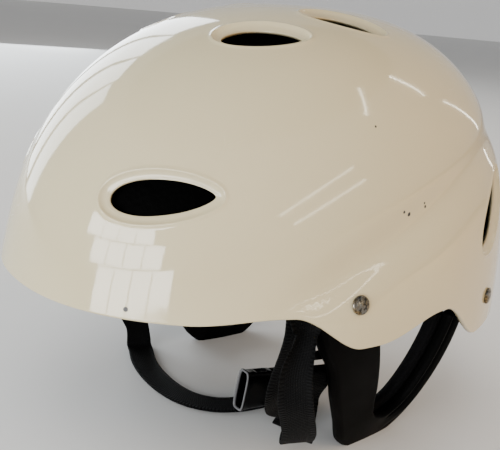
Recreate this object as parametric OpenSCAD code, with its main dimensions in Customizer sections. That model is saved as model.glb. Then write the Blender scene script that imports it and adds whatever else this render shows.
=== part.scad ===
// Water helmet: a hard shell over a foam liner, with ear guards, rivets and a
// webbing chin strap that closes with a side-release buckle.
// The front of the helmet faces -Y, the wearer's left is +X, and the helmet
// stands on its two ear guards.

/* [Shell] */
// Half width of the dome at its widest
half_w = 108; // [102:1:114]
// Length of the dome in front of its widest line
front_l = 151; // [145:1:157]
// Length of the dome behind its widest line
rear_l = 140; // [134:1:146]
// Height of the crown above the bottom of the ear tabs
crown_h = 145; // [140:1:150]
// Thickness of the shell wall
shell_t = 3; // [2.5:0.1:3.2]
// Depth of the valley that divides the dome from the skirt
valley_d = 2.6; // [0:0.1:3]
// How far the skirt flares out at its lower edge
skirt_flare = 3.6; // [2:0.1:4]
// How far the brim flares out at the front
brim_flare = 2.6; // [0:0.1:3]

/* [Lower edge, heights above the ear tabs] */
// Edge of the brim
brim_z = 14; // [12:1:16]
// Highest point of the edge at the temple
temple_z = 17; // [15:1:19]
// Top of the arch behind the ear
arch_z = 9; // [7:1:11]
// Edge of the nape
nape_z = -14; // [-16:1:-12]

/* [Vents] */
// Length of a vent
vent_l = 46; // [40:1:48]
// Height of a vent
vent_h = 15.5; // [14:0.5:17]

/* [Lining] */
// Gap between the shell's outer face and the foam liner
liner_gap = 5.8; // [5.6:0.1:6.2]
// Thickness of the foam liner
liner_t = 12; // [10:0.5:13]
// Thickness of a comfort pad
pad_t = 7; // [5:0.5:8]

/* [Ear guards] */
// How far a guard's foot is below the ear tabs
stand_h = 81; // [80:1:82]
// Thickness of a guard's outer foam
guard_t = 7; // [6:0.5:8]
// Thickness of the ear pad behind it
ear_pad_t = 8; // [6:0.5:9]
// How far a guard leans in between its top and its foot
guard_lean = 26; // [24:0.5:28]

/* [Straps and buckle] */
// Width of the webbing
web_w = 16; // [15:0.5:16]
// Thickness of the webbing
web_t = 1.4; // [1.2:0.1:1.5]
// Radius of a rivet's head
rivet_r = 4.8; // [4:0.1:5.2]
// Width of the buckle's socket
socket_w = 23; // [22.5:0.1:24]
// Thickness of the buckle's socket
socket_t = 9; // [8.5:0.1:9.5]
// Length of the buckle's socket
socket_l = 27; // [26:0.5:28]

/* [Hidden] */
$fn = 32;

plan_n = 2.16;              // roundness of the dome seen from above
front_n = 2.3;              // roundness of the dome's profile at the front
side_n = 2.65;              // ... at the sides
rear_n = 2.48;              // ... and at the rear
lean_y = 4.3;               // the crown sits a little behind the widest line
shift_y = 4.8;               // centres the whole helmet on the origin
valley_w = 11;              // half width of the valley
skin_steps = 72;            // steps round the dome
row_steps = 16;             // rows from the edge to the crown
rivet_phi = [71, 125];      // bearings of the side and rear rivets
rivet_z = [21, 4];          // their heights
bore_r = 2.3;               // hole for a rivet
shank_r = 2.1;              // a rivet's shank
rivet_grip = [6.6, 8.2];    // depth of the stack that each rivet holds together
strap_phi = 58.7;           // bearing of the front and adjuster straps
anchor_top = 4.3;           // depth of a strap bracket's outer face below the skin
anchor_floor = 5.9;         // ... and of the floor of its channel
crown_pad_z = 112;          // lower edge of the crown pad
gap = 0.7;                  // clearance between curved faces
pad_inset = liner_gap + liner_t + gap;
washer_r = 5;               // radius of a rivet's washer

shell_white = [0.90, 0.89, 0.86];
foam_black = [0.07, 0.07, 0.075];
pad_grey = [0.13, 0.13, 0.14];
web_black = [0.10, 0.10, 0.11];
plastic_black = [0.05, 0.05, 0.055];
nickel = [0.72, 0.69, 0.62];

// Vents on the left: bearing, height, length factor and how far the long axis
// rises towards its pointed end. Each has a mirror twin on the right.
vents = [[28, 65.5, 1, 8], [36, 131.8, 0.82, 10], [79, 140.2, 0.8, -33], [127, 51, 1, 50]];

// --- Shared functions -------------------------------------------------------

// Rises smoothly from 0 at a to 1 at b
function smooth(a, b, x) = let (t = min(1, max(0, (x - a) / (b - a)))) t * t * (3 - 2 * t);
function unit(v) = v / norm(v);
// Bearing measured from the front, the same on both sides
function off_front(phi) = abs(phi > 180 ? phi - 360 : phi);

// Height of the shell's lower edge at a bearing
function edge_z(phi) =
    let (s = off_front(phi))
    brim_z + (temple_z - brim_z) * smooth(36, 53, s) - temple_z * smooth(56, 73, s)
        + arch_z * smooth(78, 99, s) + (nape_z - arch_z) * smooth(101, 120, s);

// Height of the foam liner's lower edge, raised over the ears
function liner_edge_z(phi) =
    let (s = off_front(phi))
    24 + 16 * smooth(44, 56, s) - 48 * smooth(128, 148, s);

// Radius of the dome's widest outline, inset from the outer face
function plan_r(phi, inset) =
    let (b = (cos(phi) > 0 ? front_l : rear_l) - inset)
    pow(pow(abs(sin(phi)) / (half_w - inset), plan_n) + pow(abs(cos(phi)) / b, plan_n), -1 / plan_n);

function profile_n(phi) =
    let (w = (1 + cos(phi)) / 2, k = pow(sin(phi), 2))
    side_n * k + (1 - k) * (front_n * w + rear_n * (1 - w));

function valley_z(phi) = 18 + 78 * sin(90 * min(1, max(0, (off_front(phi) - 47) / 133)));

function valley(phi, z) =
    valley_d * smooth(46, 70, off_front(phi)) * exp(-pow((z - valley_z(phi)) / valley_w, 2));

function flare(phi, z) =
    let (s = off_front(phi))
    brim_flare * max(0, cos(s / 1.2)) * exp(-max(0, z - brim_z) / 18)
        + skirt_flare * smooth(46, 72, s) * smooth(valley_z(phi), edge_z(phi), z);

function dome_r(phi, z, inset) =
    let (q = profile_n(phi), h = min(1, max(0, z) / (crown_h - inset)))
    plan_r(phi, inset) * pow(1 - pow(h, q), 1 / q);

// A point of the dome's skin, at a depth below its outer face
function skin(phi, z, inset) =
    let (r = dome_r(phi, z, inset) + flare(phi, z) - valley(phi, z))
    [r * sin(phi), lean_y * pow(max(0, z) / crown_h, 1.5) - r * cos(phi), z];

function skin_normal(phi, z) =
    unit(cross(skin(phi + 1, z, 0) - skin(phi - 1, z, 0), skin(phi, z + 1, 0) - skin(phi, z - 1, 0)));

// The direction along the shell at a bearing, level and towards the rear
function along(phi, z) =
    let (d = skin(phi + 1, z, 0) - skin(phi - 1, z, 0))
    unit([d[0], d[1], 0]);

// A point behind the shell: so far down from a place on it, at a depth square to it
function behind(phi, z, down, depth) =
    let (n = skin_normal(phi, z), h = along(phi, z))
    skin(phi, z, 0) + cross(h, n) * (cross(h, n)[2] < 0 ? down : -down) - n * depth;

// A smooth curve through hand-chosen points, with k steps between each two
function spline_at(a, b, c, d, t) =
    0.5 * (2 * b + (c - a) * t + (2 * a - 5 * b + 4 * c - d) * t * t + (3 * b - a - 3 * c + d) * t * t * t);
function spline(p, k) =
    let (n = len(p) - 1)
    [for (i = [0:n - 1]) for (j = [0:k - 1])
        spline_at(p[max(0, i - 1)], p[i], p[i + 1], p[min(n, i + 2)], j / k), p[n]];

// --- Shared modules ---------------------------------------------------------

module placed() translate([0, shift_y, stand_h]) children();

// Mirrors a left-hand piece to the right when wanted
module sided(right) if (right) mirror([1, 0, 0]) children(); else children();

// Puts +Z of the children along the skin's outward normal
module on_skin(phi, z) {
    v = skin_normal(phi, z);
    translate(skin(phi, z, 0)) rotate([0, acos(v[2]), atan2(v[1], v[0])]) children();
}

// A solid through a list of rings that all have the same number of points
module rings_solid(rings) {
    m = len(rings[0]);
    n = len(rings);
    polyhedron(
        points = [for (r = rings) for (p = r) p],
        faces = concat(
            [[for (j = [0:m - 1]) j]],
            [for (i = [0:n - 2]) for (j = [0:m - 1]) let (k = (j + 1) % m)
                each [[i * m + j, (i + 1) * m + j, (i + 1) * m + k],
                    [i * m + j, (i + 1) * m + k, i * m + k]]],
            [[for (j = [m - 1:-1:0]) (n - 1) * m + j]]),
        convexity = 10);
}

// Webbing along a route: points, the direction across the webbing at each one
module webbing(route, across, steps = 4, width = web_w) {
    p = spline(route, steps);
    w = spline(across, steps);
    n = len(p) - 1;
    rings_solid([for (i = [0:n])
        let (t = unit(p[min(n, i + 1)] - p[max(0, i - 1)]), a = unit(w[i] - (w[i] * t) * t),
            h = a * width / 2, d = cross(t, a) * web_t / 2)
        [p[i] - h - d, p[i] + h - d, p[i] + h + d, p[i] - h + d]]);
}

// A bowl between two insets of the dome, above an edge of constant or varying height
module bowl(outer, inner, heights, columns = skin_steps, rows = row_steps) {
    n = columns;
    function ring_points(inset) = [for (i = [0:rows - 1]) for (j = [0:n - 1])
        let (phi = 360 * j / n, low = heights[j], z = low + (crown_h - inset - low) * sin(90 * i / rows))
        skin(phi, z, inset)];
    function apex(inset) = [[0, lean_y, crown_h - inset]];
    layer = rows * n + 1;
    function wall(base, i, j, k, out) = let (a = base + i * n)
        out ? [[a + j, a + n + j, a + n + k], [a + j, a + n + k, a + k]]
            : [[a + n + k, a + n + j, a + j], [a + k, a + n + k, a + j]];
    polyhedron(
        points = concat(ring_points(outer), apex(outer), ring_points(inner), apex(inner)),
        faces = concat(
            [for (i = [0:rows - 2]) for (j = [0:n - 1]) each wall(0, i, j, (j + 1) % n, true)],
            [for (i = [0:rows - 2]) for (j = [0:n - 1]) each wall(layer, i, j, (j + 1) % n, false)],
            [for (j = [0:n - 1]) let (a = (rows - 1) * n, k = (j + 1) % n)
                each [[a + j, layer - 1, a + k], [layer + a + k, 2 * layer - 1, layer + a + j]]],
            [for (j = [0:n - 1]) let (k = (j + 1) % n)
                each [[j, k, layer + k], [j, layer + k, layer + j]]]),
        convexity = 10);
}

// A padded patch of the dome between two bearings and two heights
module patch(phi_a, phi_b, low, high, inset, thick, columns = 16, rows = 4) {
    function corner(i, j, depth) = let (phi = phi_a + (phi_b - phi_a) * j / columns)
        skin(phi, low + (high - low) * i / rows, inset + depth);
    rings_solid([for (j = [0:columns])
        concat([for (i = [0:rows]) corner(i, j, thick)], [for (i = [rows:-1:0]) corner(i, j, 0)])]);
}

// A vent's outline: blunt at one end and pointed at the other
module vent_outline(long, high) {
    polygon([for (a = [0:15:345])
        [long / 2 * cos(a), high / 1.78 * sin(a) * pow(abs(sin(a / 2)), 0.45)]]);
}

// All the vents, as solids that cut through the wall
module vent_cutters() {
    for (v = vents) for (right = [false, true])
        sided(right) on_skin(v[0], v[1]) rotate(90 + v[3]) translate([0, 0, -24])
            linear_extrude(34) vent_outline(vent_l * v[2], vent_h);
}

// --- Shell and lining -------------------------------------------------------

module rivet_bores() {
    for (i = [0, 1]) for (right = [false, true])
        sided(right) on_skin(rivet_phi[i], rivet_z[i]) cylinder(r = bore_r, h = 24, center = true);
}

module shell() {
    color(shell_white) placed() difference() {
        bowl(0, shell_t, [for (j = [0:skin_steps - 1]) edge_z(360 * j / skin_steps)]);
        vent_cutters();
        rivet_bores();
    }
}

module foam_liner() {
    heights = [for (j = [0:59]) liner_edge_z(6 * j)];
    color(foam_black) placed() difference() {
        bowl(liner_gap, liner_gap + liner_t, heights, 60, 12);
        strap_anchor_room();
    }
}

module crown_pad() {
    color(pad_grey) placed()
        bowl(pad_inset, pad_inset + pad_t, [for (j = [0:23]) crown_pad_z], 24, 4);
}

module brow_pad() color(pad_grey) placed() patch(-52, 52, 27, 50, pad_inset, pad_t, 24);
module nape_pad() color(pad_grey) placed() patch(138, 222, -12, 30, pad_inset, pad_t, 20);
module side_pad(right) color(pad_grey) placed() sided(right) patch(66, 108, 44, 74, pad_inset, pad_t, 12);
module side_pad_left() side_pad(false);
module side_pad_right() side_pad(true);

// --- Fasteners --------------------------------------------------------------

// A domed head, a shank through the stack and a flared end
module rivet(grip) {
    crown = 1.3;
    ball = (rivet_r * rivet_r + crown * crown) / (2 * crown);
    translate([0, 0, 0.35]) rotate_extrude($fn = 48)
        polygon([[0, -0.1], [rivet_r, -0.1], [rivet_r, 0.35],
            for (a = [1:6]) let (x = rivet_r * (1 - a / 6))
                [x, 0.35 + sqrt(ball * ball - x * x) - ball + crown]]);
    translate([0, 0, -grip]) cylinder(r = shank_r, h = grip + 0.3);
    translate([0, 0, -grip - 0.8]) cylinder(r = shank_r + 1.2, h = 0.8);
}

module rivets() {
    color(nickel) placed() for (i = [0, 1]) for (right = [false, true])
        sided(right) on_skin(rivet_phi[i], rivet_z[i]) rivet(rivet_grip[i]);
}

module rivet_washers() {
    color(nickel) placed() for (i = [0, 1]) for (right = [false, true])
        sided(right) on_skin(rivet_phi[i], rivet_z[i]) translate([0, 0, -rivet_grip[i]]) difference() {
            cylinder(r = washer_r, h = 0.9);
            translate([0, 0, -1]) cylinder(r = bore_r, h = 3);
        }
}

// Plates behind the shell, from which the ear guards hang. The front one bridges
// the top of the guard and ends in a lip that the side strap is sewn to.
hanger_bridge_z = 12.6;
hanger_lip_x = 89.3;
module guard_hangers() {
    color(plastic_black) placed() for (right = [false, true]) sided(right) {
        for (i = [0, 1]) on_skin(rivet_phi[i], rivet_z[i]) translate([0, 0, -shell_t - 2.5]) difference() {
            translate([-6, -8, 0]) cube([13, 16, 1.4]);
            translate([0, 0, -1]) cylinder(r = bore_r, h = 4);
        }
        translate([hanger_lip_x, -42, hanger_bridge_z]) cube([15.5, 12, 1.6]);
        translate([hanger_lip_x, -44, hanger_bridge_z - 8]) cube([1.6, 16, 10]);
    }
}

// Brackets bonded inside the shell that hold the ends of the front straps
anchor_w = web_w + 4.2;
anchor_z = 60;
module anchor_block(grow) {
    on_skin(strap_phi, anchor_z)
        translate([-5 - grow, -anchor_w / 2 - grow, -anchor_floor - 1.5 - grow])
            cube([10 + 2 * grow, anchor_w + 2 * grow, anchor_floor + 1.5 - anchor_top + 2 * grow]);
}
module strap_anchor_room() for (right = [false, true]) sided(right) anchor_block(0.6);
module strap_anchors() {
    color(plastic_black) placed() for (right = [false, true]) sided(right) difference() {
        anchor_block(0);
        on_skin(strap_phi, anchor_z) translate([-6, -web_w / 2 - 0.8, -anchor_floor])
            cube([12, web_w + 1.6, anchor_floor]);
    }
}

// --- Ear guards -------------------------------------------------------------

// Side view of the left guard: its outer outline and the edge of its ear opening,
// point by point from the top of the front leg to the top of the rear leg
guard_outer = [[-52, 11.4], [-44.5, -5], [-34.5, -20], [-26.5, -38], [-16, -57], [-4, -77],
    [10, -85], [28, -84.5], [48, -74], [61, -52], [66, -29], [65, -7]];
guard_inner = [[-15, 11.4], [-10, -4], [-4, -20], [2, -36], [7, -51], [12, -60],
    [18, -64], [26, -65], [36, -58], [43, -43], [47, -25], [49, -6]];

// Distance of the guard's outer face from the middle plane of the helmet
function guard_x(y, z) =
    let (b = y < 0 ? front_l : rear_l)
    (half_w - 5.5) * pow(1 - pow(abs(y) / b, plan_n), 1 / plan_n)
        - guard_lean * pow(max(0, 12 - z) / 92, 1.5);

// A band that follows the guard's two outlines. Each point of its section has a
// place across the band, 0 at the outer outline and 1 at the opening, and a depth.
module guard_band(section, steps = 3) {
    o = spline(guard_outer, steps);
    n = spline(guard_inner, steps);
    rings_solid([for (i = [0:len(o) - 1])
        [for (s = section) let (q = o[i] + (n[i] - o[i]) * s[0])
            [guard_x(q[0], q[1]) - s[1], q[0], q[1]]]]);
}

module ear_guard(right) {
    t = guard_t;
    color(foam_black) placed() sided(right) difference() {
        guard_band([[0, 0.3 * t], [0, 0.75 * t], [0.08, t], [0.92, t], [1, 0.75 * t],
            [1, 0.3 * t], [0.92, 0.05 * t], [0.7, 0], [0.3, 0], [0.1, 0.05 * t]]);
        translate([40, -60, -stand_h - 20]) cube([80, 140, 20]);
    }
}
module ear_guard_left() ear_guard(false);
module ear_guard_right() ear_guard(true);

module ear_pad(right) {
    a = guard_t + gap;
    b = a + ear_pad_t;
    color(pad_grey) placed() sided(right) difference() {
        guard_band([[0.62, a], [0.62, b - 2], [0.7, b], [1.02, b],
            [1.14, b - 2.5], [1.14, a + 2], [1.05, a]]);
        translate([40, -60, -7]) cube([80, 140, 40]);
    }
}
module ear_pad_left() ear_pad(false);
module ear_pad_right() ear_pad(true);

// --- Ladder locks and the straps they join ----------------------------------

lock_at = [83, -35, -15];   // centre of the left ladder lock
lock_turn = [0, 8, -12];    // it leans with the guard and turns with the shell
lock_w = 22.5;
lock_h = 25;
lock_t = 3;
bar_h = 3.5;                // height of a bar of the lock
slot_w = 17.2;              // width of its slots
loop_x = lock_t / 2 + 0.35 + web_t / 2;
loop_z = bar_h / 2 + 0.35 + web_t / 2;
top_bar_z = lock_h / 2 - bar_h / 2;

// A point of the lock's own frame: outwards, rearwards, up
function turn_y(p, a) = [p[0] * cos(a) + p[2] * sin(a), p[1], p[2] * cos(a) - p[0] * sin(a)];
function turn_z(p, a) = [p[0] * cos(a) - p[1] * sin(a), p[0] * sin(a) + p[1] * cos(a), p[2]];
function lock_point(x, z) = lock_at + turn_z(turn_y([x, 0, z], lock_turn[1]), lock_turn[2]);
lock_across = turn_z([0, 1, 0], lock_turn[2]);

module ladder_lock(right) {
    slot_h = (lock_h - 3 * bar_h) / 2;
    color(plastic_black) placed() sided(right) translate(lock_at) rotate(lock_turn) difference() {
        hull() for (y = [-1, 1]) for (z = [-1, 1])
            translate([0, y * (lock_w / 2 - 2), z * (lock_h / 2 - 2)]) rotate([0, 90, 0])
                cylinder(r = 2, h = lock_t, center = true);
        for (z = [-1, 1]) translate([-lock_t, -slot_w / 2, z * (bar_h + slot_h) / 2 - slot_h / 2])
            cube([2 * lock_t, slot_w, slot_h]);
    }
}
module ladder_lock_left() ladder_lock(false);
module ladder_lock_right() ladder_lock(true);

// Side strap: from the lip of the guard's hanger down round the lock's top bar
module side_strap(right) {
    sewn_x = hanger_lip_x - 0.3 - web_t / 2;
    route = [[sewn_x, -36.2, hanger_bridge_z + 2], [sewn_x, -36.2, 10], [sewn_x, -36.2, 6.5],
        lock_point(loop_x, 16), lock_point(loop_x, top_bar_z),
        lock_point(loop_x * 0.85, top_bar_z - loop_z * 0.9), lock_point(0, top_bar_z - loop_z - 0.1),
        lock_point(-loop_x * 0.85, top_bar_z - loop_z * 0.9), lock_point(-loop_x, top_bar_z),
        lock_point(-loop_x, 17)];
    across = [for (i = [0:9]) i < 3 ? [0, 1, 0] : lock_across];
    color(web_black) placed() sided(right) webbing(route, across, 3);
}
module side_strap_left() side_strap(false);
module side_strap_right() side_strap(true);

// The end of an adjuster strap: up the outside of the lock's bottom bar, over it
// and down again behind it
lock_end = [lock_point(loop_x, -16), lock_point(loop_x, -top_bar_z),
    lock_point(loop_x * 0.85, -top_bar_z + loop_z * 0.9), lock_point(0, -top_bar_z + loop_z + 0.1),
    lock_point(-loop_x * 0.85, -top_bar_z + loop_z * 0.9), lock_point(-loop_x, -top_bar_z),
    lock_point(-loop_x, -17)];
lock_end_across = [for (i = [0:6]) lock_across];

// The front strap runs between shell and foam, and steps in below the foam to make
// room for the adjuster strap, which is sewn to its outer face
strap_depth = 4.5;
sewn_depth = 1.75;
function strap_down(heights, sewn) =
    [for (z = heights) behind(strap_phi, z, 0, strap_depth + sewn * smooth(40, 31, z))];
function strap_across(heights) = [for (z = heights) along(strap_phi, z)];
top_heights = [31, 27, 23, 18, 13, 9];
top_end = strap_down(top_heights, 0);
top_end_across = strap_across(top_heights);

// Left: a slack loop that hangs in front of the guard
slack_route = concat(top_end, [[101.5, -63.5, 2], [103.5, -67, -8], [104.5, -66, -21], [102, -61, -33],
    [98.5, -56, -43], [93.5, -52, -51], [89, -48.5, -54], [85.8, -44, -51.5], [82.5, -40.5, -45],
    [80.3, -36.8, -38.5]], lock_end);
slack_across = concat(top_end_across, [[0.45, 0.89, 0], [0.55, 0.83, 0], [0.6, 0.8, 0], [0.6, 0.8, 0],
    [0.55, 0.84, 0], [0.45, 0.89, 0.05], [0.4, 0.9, 0.05], [0.35, 0.93, 0], [0.3, 0.95, 0],
    [0.25, 0.97, 0]], lock_end_across);
module adjuster_strap_left() color(web_black) placed() webbing(slack_route, slack_across, 3);

// Right: drawn up short
short_route = concat(top_end, [[102, -61, 0], [101, -55, -14], [95, -47.5, -27], [88.5, -41, -36.5],
    [83, -37.8, -41], [80.7, -35, -37.5]], lock_end);
short_across = concat(top_end_across, [[0.4, 0.92, 0], [0.45, 0.89, 0], [0.4, 0.9, 0]],
    [for (i = [0:2]) [0.3, 0.95, 0]],
    lock_end_across);
module adjuster_strap_right() color(web_black) placed() sided(true) webbing(short_route, short_across, 3);

// Nape strap: round the back between shell and foam, from rear rivet to rear rivet
module nape_strap() {
    bearings = [for (b = [rivet_phi[1] - 4 : 5 : 180]) b];
    turn = concat(bearings, [for (i = [len(bearings) - 1:-1:0]) 360 - bearings[i]]);
    function depth(b) = 6.2 - 1.8 * smooth(rivet_phi[1] + 3, rivet_phi[1] + 12, off_front(b));
    color(web_black) placed() difference() {
        rings_solid([for (b = turn) [skin(b, rivet_z[1] - web_w / 2, depth(b) + web_t / 2),
            skin(b, rivet_z[1] + web_w / 2, depth(b) + web_t / 2),
            skin(b, rivet_z[1] + web_w / 2, depth(b) - web_t / 2),
            skin(b, rivet_z[1] - web_w / 2, depth(b) - web_t / 2)]]);
        for (right = [false, true]) sided(right) on_skin(rivet_phi[1], rivet_z[1])
            cylinder(r = bore_r, h = 24, center = true);
    }
}

// --- Chin strap -------------------------------------------------------------

exit_z = 7.5;               // height at which the left chin strap starts to bend
front_heights = [66, 58, 48, 38, 30, 23, 16];
front_end = strap_down(front_heights, sewn_depth);
front_end_across = strap_across(front_heights);
left_exit = strap_down([exit_z], sewn_depth)[0];

module front_strap_left()
    color(web_black) placed() webbing(concat(front_end, strap_down([exit_z + 2], sewn_depth)),
        concat(front_end_across, [along(strap_phi, exit_z)]), 3);

// Right: the front strap hangs all the way down to the table
drop_foot = [-80, -40.3, -75.2];
drop_route = concat([for (p = front_end) [-p[0], p[1], p[2]]], [[-95, -61.5, 3], [-86.5, -60.5, -18],
    [-79, -54.5, -42], [-80.3, -43, -62], drop_foot]);
drop_across = concat([for (v = front_end_across) [-v[0], v[1], 0]], [[-0.42, 0.91, 0], [-0.35, 0.94, 0],
    [-0.3, 0.95, 0], [-0.1, 1, 0], [0.2, 0.98, 0]]);
module front_strap_right() color(web_black) placed() webbing(drop_route, drop_across, 3);

// The socket hangs with its mouth to the front and its width upright
socket_at = [36, -43, -55]; // middle of the socket's mouth
socket_pitch = -8;
tail_y = socket_l - 2.5;    // the bar that holds the webbing
bar_r = 1.6;
bar_loop = bar_r + 0.4 + web_t / 2;
function socket_point(x, y) =
    socket_at + [x, y * cos(socket_pitch), y * sin(socket_pitch)];
upright = [0, -sin(socket_pitch), cos(socket_pitch)];
chin_left_route = concat([left_exit - [0, 0, 0.3], [95, -60, -2], [92, -59, -12], [86, -58, -27],
    [76, -50.5, -40], [67, -35, -49], [57, -18, -55], [49, -7, -59.5], [42.5, -4, -61]],
    [for (at = [[1, 9], [1, 1], [0.72, -0.72 * bar_loop], [0, -bar_loop], [-0.72, -0.72 * bar_loop],
        [-1, 1], [-1, 7]]) socket_point(at[0] * bar_loop, tail_y + at[1])],
    [[33.5, -5, -64], [36, -1.5, -68.5], [40, -5, -73], [45, -12, -76], [48, -19, -78.6]]);
chin_left_across = concat([along(strap_phi, exit_z), along(strap_phi, exit_z), [0.6, 0.8, 0.15],
    [0.5, 0.75, 0.45], [0.3, 0.55, 0.8], [0.1, 0.3, 0.95], [0, 0.15, 1]], [for (i = [0:8]) upright],
    [[-0.2, 0.4, 0.9], [-0.5, 0.5, 0.7], [-0.75, 0.55, 0.3], [-0.8, -0.5, 0.1], [-0.85, -0.5, 0]]);
module chin_strap_left() color(web_black) placed() webbing(chin_left_route, chin_left_across, 4);

module slab(w, t, y, r = 2)
    for (a = [-1, 1]) for (b = [-1, 1]) translate([a * (t / 2 - r), y, b * (w / 2 - r)])
        rotate([-90, 0, 0]) cylinder(r = r, h = 1);

module buckle_socket() {
    mouth_w = socket_w - 2.8;
    mouth_t = socket_t - 2.8;
    wall_end = tail_y - 5.8;
    color(plastic_black) placed() translate(socket_at) rotate([socket_pitch, 0, 0]) {
        difference() {
            hull() {
                slab(socket_w, socket_t, 0, 3.5);
                slab(socket_w - 2, socket_t - 1, wall_end - 1, 3);
            }
            hull() {
                slab(mouth_w, mouth_t, -1, 2.5);
                slab(mouth_w - 1, mouth_t - 0.4, wall_end - 3.5, 2.4);
            }
            for (s = [-1, 1]) translate([-2.2, 7, s * socket_w / 2 - 3]) cube([4.4, 7, 6]);
        }
        for (s = [-1, 1]) translate([-2, wall_end - 1.5, s * 9.55 - 0.95])
            cube([4, tail_y - wall_end + 3, 1.9]);
        translate([0, tail_y, 0]) cylinder(r = bar_r, h = 18, center = true);
    }
}

// The right chin strap lies on the table in a wide arc that ends at the plug
table_z = -stand_h + web_t / 2 + 0.1;
arc_points = [[-58, -48], [-40, -51.5], [-20, -51.5], [-4, -47], [7, -38], [13, -27], [15, -17]];
plug_at = [15.5, -8, -stand_h + 3.7];   // middle of the plug's bar
function plug_point(y, z) = plug_at + [0, y, z];
chin_right_route = concat([[-79.6, -40.3, -77.8], [-78.1, -40.6, -79.3], [-74.5, -41.5, table_z]],
    [for (p = arc_points) [p[0], p[1], table_z]],
    [plug_point(-5, -bar_loop), plug_point(-0.5, -bar_loop), plug_point(bar_loop * 0.72, -bar_loop * 0.72),
    plug_point(bar_loop, 0), plug_point(bar_loop * 0.72, bar_loop * 0.72), plug_point(-0.5, bar_loop),
    plug_point(-6, bar_loop)]);
chin_right_across = concat([for (i = [0:2]) [0.3, 0.95, 0]], [[0.27, 0.96, 0], [0.1, 0.99, 0],
    [-0.13, 0.99, 0], [-0.5, 0.87, 0], [-0.8, 0.6, 0], [-0.95, 0.3, 0]], [for (i = [0:7]) [-1, 0.05, 0]]);
module chin_strap_right() color(web_black) placed() webbing(chin_right_route, chin_right_across, 3);

plug_body_y = 4.6;
plug_root_y = 12;
module buckle_plug() {
    color(plastic_black) placed() translate(plug_at) {
        hull() for (a = [-1, 1]) for (b = [-1, 1])
            translate([a * 9, plug_body_y, b * 1.6]) rotate([-90, 0, 0])
                cylinder(r = 2, h = plug_root_y - plug_body_y);
        for (s = [-1, 1]) translate([s * 9.75 - 0.95, -1.6, -1.9]) cube([1.9, plug_body_y + 2.6, 3.8]);
        rotate([0, 90, 0]) cylinder(r = bar_r, h = 18.4, center = true);
        translate([-2.2, plug_root_y - 1, -1.5]) cube([4.4, 15, 3]);
    }
}

// A prong: a springy arm with a barb, beside the plug's middle blade
module prong(s) {
    y = plug_root_y + 0.5;
    color(plastic_black) placed() translate(plug_at) linear_extrude(5, center = true) scale([s, 1])
        polygon([[5.6, y], [8.8, y], [9, y + 6], [10, y + 8], [10.2, y + 11], [7.4, y + 15], [5.6, y + 15],
            [6.4, y + 8]]);
}
module prong_left() prong(1);
module prong_right() prong(-1);

shell();
foam_liner();
crown_pad();
brow_pad();
nape_pad();
side_pad_left();
side_pad_right();
rivets();
rivet_washers();
guard_hangers();
strap_anchors();
nape_strap();
front_strap_left();
front_strap_right();
adjuster_strap_left();
adjuster_strap_right();
side_strap_left();
side_strap_right();
ladder_lock_left();
ladder_lock_right();
ear_guard_left();
ear_guard_right();
ear_pad_left();
ear_pad_right();
chin_strap_left();
buckle_socket();
chin_strap_right();
buckle_plug();
prong_left();
prong_right();
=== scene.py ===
"""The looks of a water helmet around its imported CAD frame. The front faces -Y and the wearer's left is +X."""

import math

import bpy
import numpy as np
from mathutils import Matrix, Vector
from mathutils.geometry import delaunay_2d_cdt


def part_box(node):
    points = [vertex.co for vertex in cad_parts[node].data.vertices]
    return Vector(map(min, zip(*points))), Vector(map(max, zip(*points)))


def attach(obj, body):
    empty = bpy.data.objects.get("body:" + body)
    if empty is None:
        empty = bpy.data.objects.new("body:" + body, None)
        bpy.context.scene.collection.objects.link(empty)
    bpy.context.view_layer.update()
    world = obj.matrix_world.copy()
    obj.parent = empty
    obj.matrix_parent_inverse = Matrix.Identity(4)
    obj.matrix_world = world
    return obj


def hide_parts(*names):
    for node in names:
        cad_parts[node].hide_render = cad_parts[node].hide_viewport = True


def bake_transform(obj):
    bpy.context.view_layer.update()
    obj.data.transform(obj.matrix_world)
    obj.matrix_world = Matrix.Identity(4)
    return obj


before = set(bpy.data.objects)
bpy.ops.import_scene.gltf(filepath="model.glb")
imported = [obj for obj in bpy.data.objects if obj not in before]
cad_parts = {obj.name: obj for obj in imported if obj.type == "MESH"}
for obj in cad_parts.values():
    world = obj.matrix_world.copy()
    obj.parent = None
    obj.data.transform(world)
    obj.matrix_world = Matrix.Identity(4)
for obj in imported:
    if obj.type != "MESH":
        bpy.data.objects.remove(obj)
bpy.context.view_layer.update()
MM = 0.001

# The helmet's own shape, in millimetres, as in the part. Heights are above the
# ear tabs, and y is zero on the dome's widest line.
HALF_W, FRONT_L, REAR_L, CROWN_H = 108.0, 151.0, 140.0, 145.0
SHELL_T, VALLEY_D, SKIRT_FLARE, BRIM_FLARE = 3.0, 2.6, 3.6, 2.6
BRIM_Z, TEMPLE_Z, ARCH_Z, NAPE_Z = 14.0, 17.0, 9.0, -14.0
VENT_L, VENT_H = 46.0, 15.5
LINER_GAP, LINER_T, PAD_T, PAD_GAP, CROWN_PAD_Z = 5.8, 12.0, 7.0, 0.7, 112.0
GUARD_T, EAR_PAD_T, GUARD_LEAN = 7.0, 8.0, 26.0
WEB_W, WEB_T, RIVET_R = 16.0, 1.4, 4.8
PLAN_N, FRONT_N, SIDE_N, REAR_N, LEAN_Y, VALLEY_W = 2.16, 2.3, 2.65, 2.48, 4.3, 11.0
RIVETS = [(71, 21), (125, 4)]                   # bearing and height
VENTS = [(28, 65.5, 1.0, 8), (36, 131.8, 0.82, 10), (79, 140.2, 0.8, -33), (127, 51, 1.0, 50)]
PAD_INSET = LINER_GAP + LINER_T + PAD_GAP

shell_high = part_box("shell")[1]
STAND_H = shell_high.z / MM - CROWN_H           # the ear tabs' height above the surface
SHIFT_Y = 4.8                                   # puts the whole helmet over the frame's origin


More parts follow.
